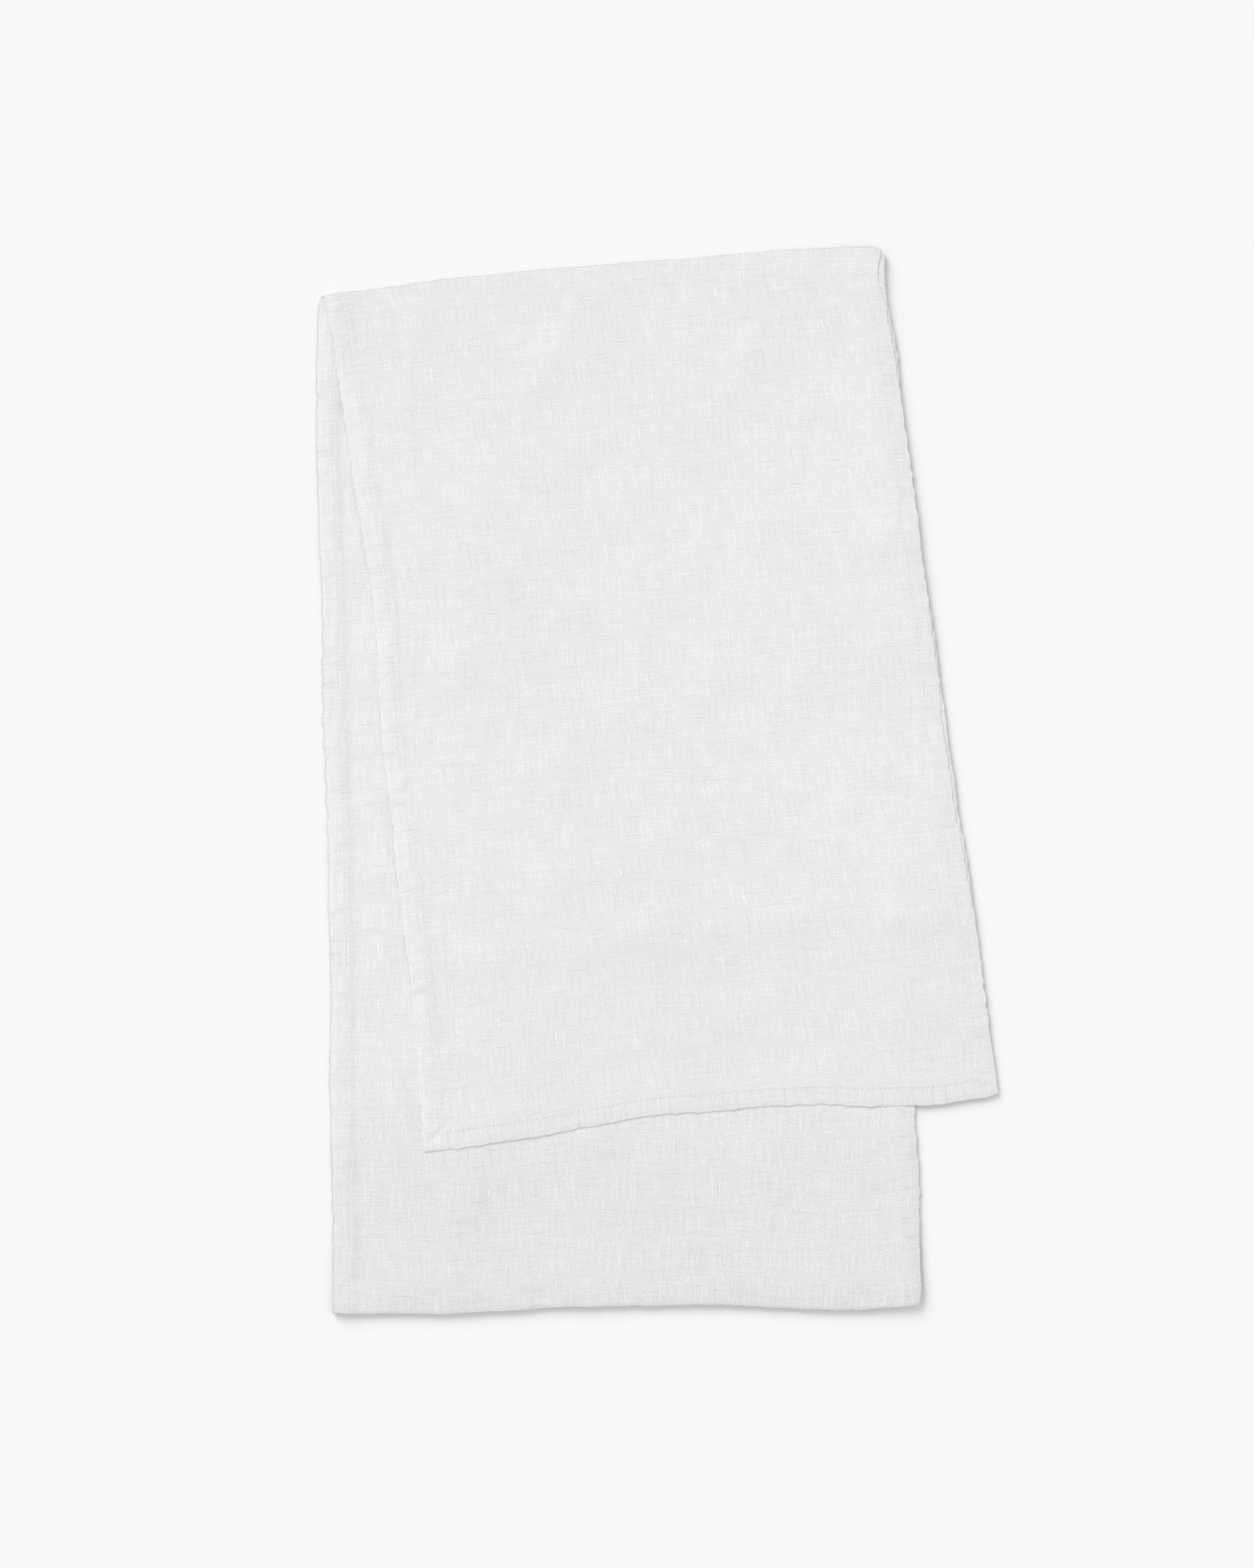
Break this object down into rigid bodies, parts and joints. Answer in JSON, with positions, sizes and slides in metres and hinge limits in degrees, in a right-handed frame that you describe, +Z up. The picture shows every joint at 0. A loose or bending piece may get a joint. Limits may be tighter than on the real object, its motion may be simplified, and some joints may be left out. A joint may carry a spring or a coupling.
{
  "type": "table runner",
  "caption": "Long washed linen table runner with double-turned stitched hems, folded in half and folded over again into a flat, slightly askew stack.",
  "frame": {"origin": "centre of the folded runner's footprint, on the surface that it lies on", "axes": "+X across the cloth to the right, +Y along the cloth towards the folded top edge, +Z up"},
  "size_m": [0.4614, 0.729, 0.0057],
  "materials": {
    "linen": "matt washed plain weave with slubs",
    "thread": "matt spun sewing thread"
  },
  "bodies": {
    "lower_layers": {"lower_under_panel": "linen", "lower_under_left_hem": "linen", "lower_under_right_hem": "linen", "lower_under_left_stitching": "thread", "lower_under_right_stitching": "thread", "lower_top_panel": "linen", "lower_top_left_hem": "linen", "lower_top_right_hem": "linen", "lower_top_left_stitching": "thread", "lower_top_right_stitching": "thread", "middle_fold": "linen", "inner_top_fold": "linen", "outer_top_fold": "linen"},
    "outer_flap": {"outer_flap_panel": "linen", "outer_flap_left_hem": "linen", "outer_flap_right_hem": "linen", "outer_flap_end_hem": "linen", "outer_flap_left_stitching": "thread", "outer_flap_right_stitching": "thread", "outer_flap_end_stitching": "thread"},
    "inner_flap": {"inner_flap_panel": "linen", "inner_flap_left_hem": "linen", "inner_flap_right_hem": "linen", "inner_flap_end_hem": "linen", "inner_flap_left_stitching": "thread", "inner_flap_right_stitching": "thread", "inner_flap_end_stitching": "thread"}
  },
  "joints": [
    {"name": "outer_flap_fold", "type": "hinge", "parent": "lower_layers", "child": "outer_flap", "pos_m": [-0.03954, 0.34717, 0.00285], "axis": [-0.9971, -0.0758, 0], "range_deg": [0, 180], "deforming": ["outer_top_fold"]},
    {"name": "inner_flap_fold", "type": "hinge", "parent": "lower_layers", "child": "inner_flap", "pos_m": [-0.03954, 0.34717, 0.00285], "axis": [-0.9971, -0.0758, 0], "range_deg": [0, 180], "deforming": ["inner_top_fold"]}
  ],
  "couplings": [
    {"joint": "inner_flap_fold", "follows": "outer_flap_fold", "ratio": 1}
  ]
}
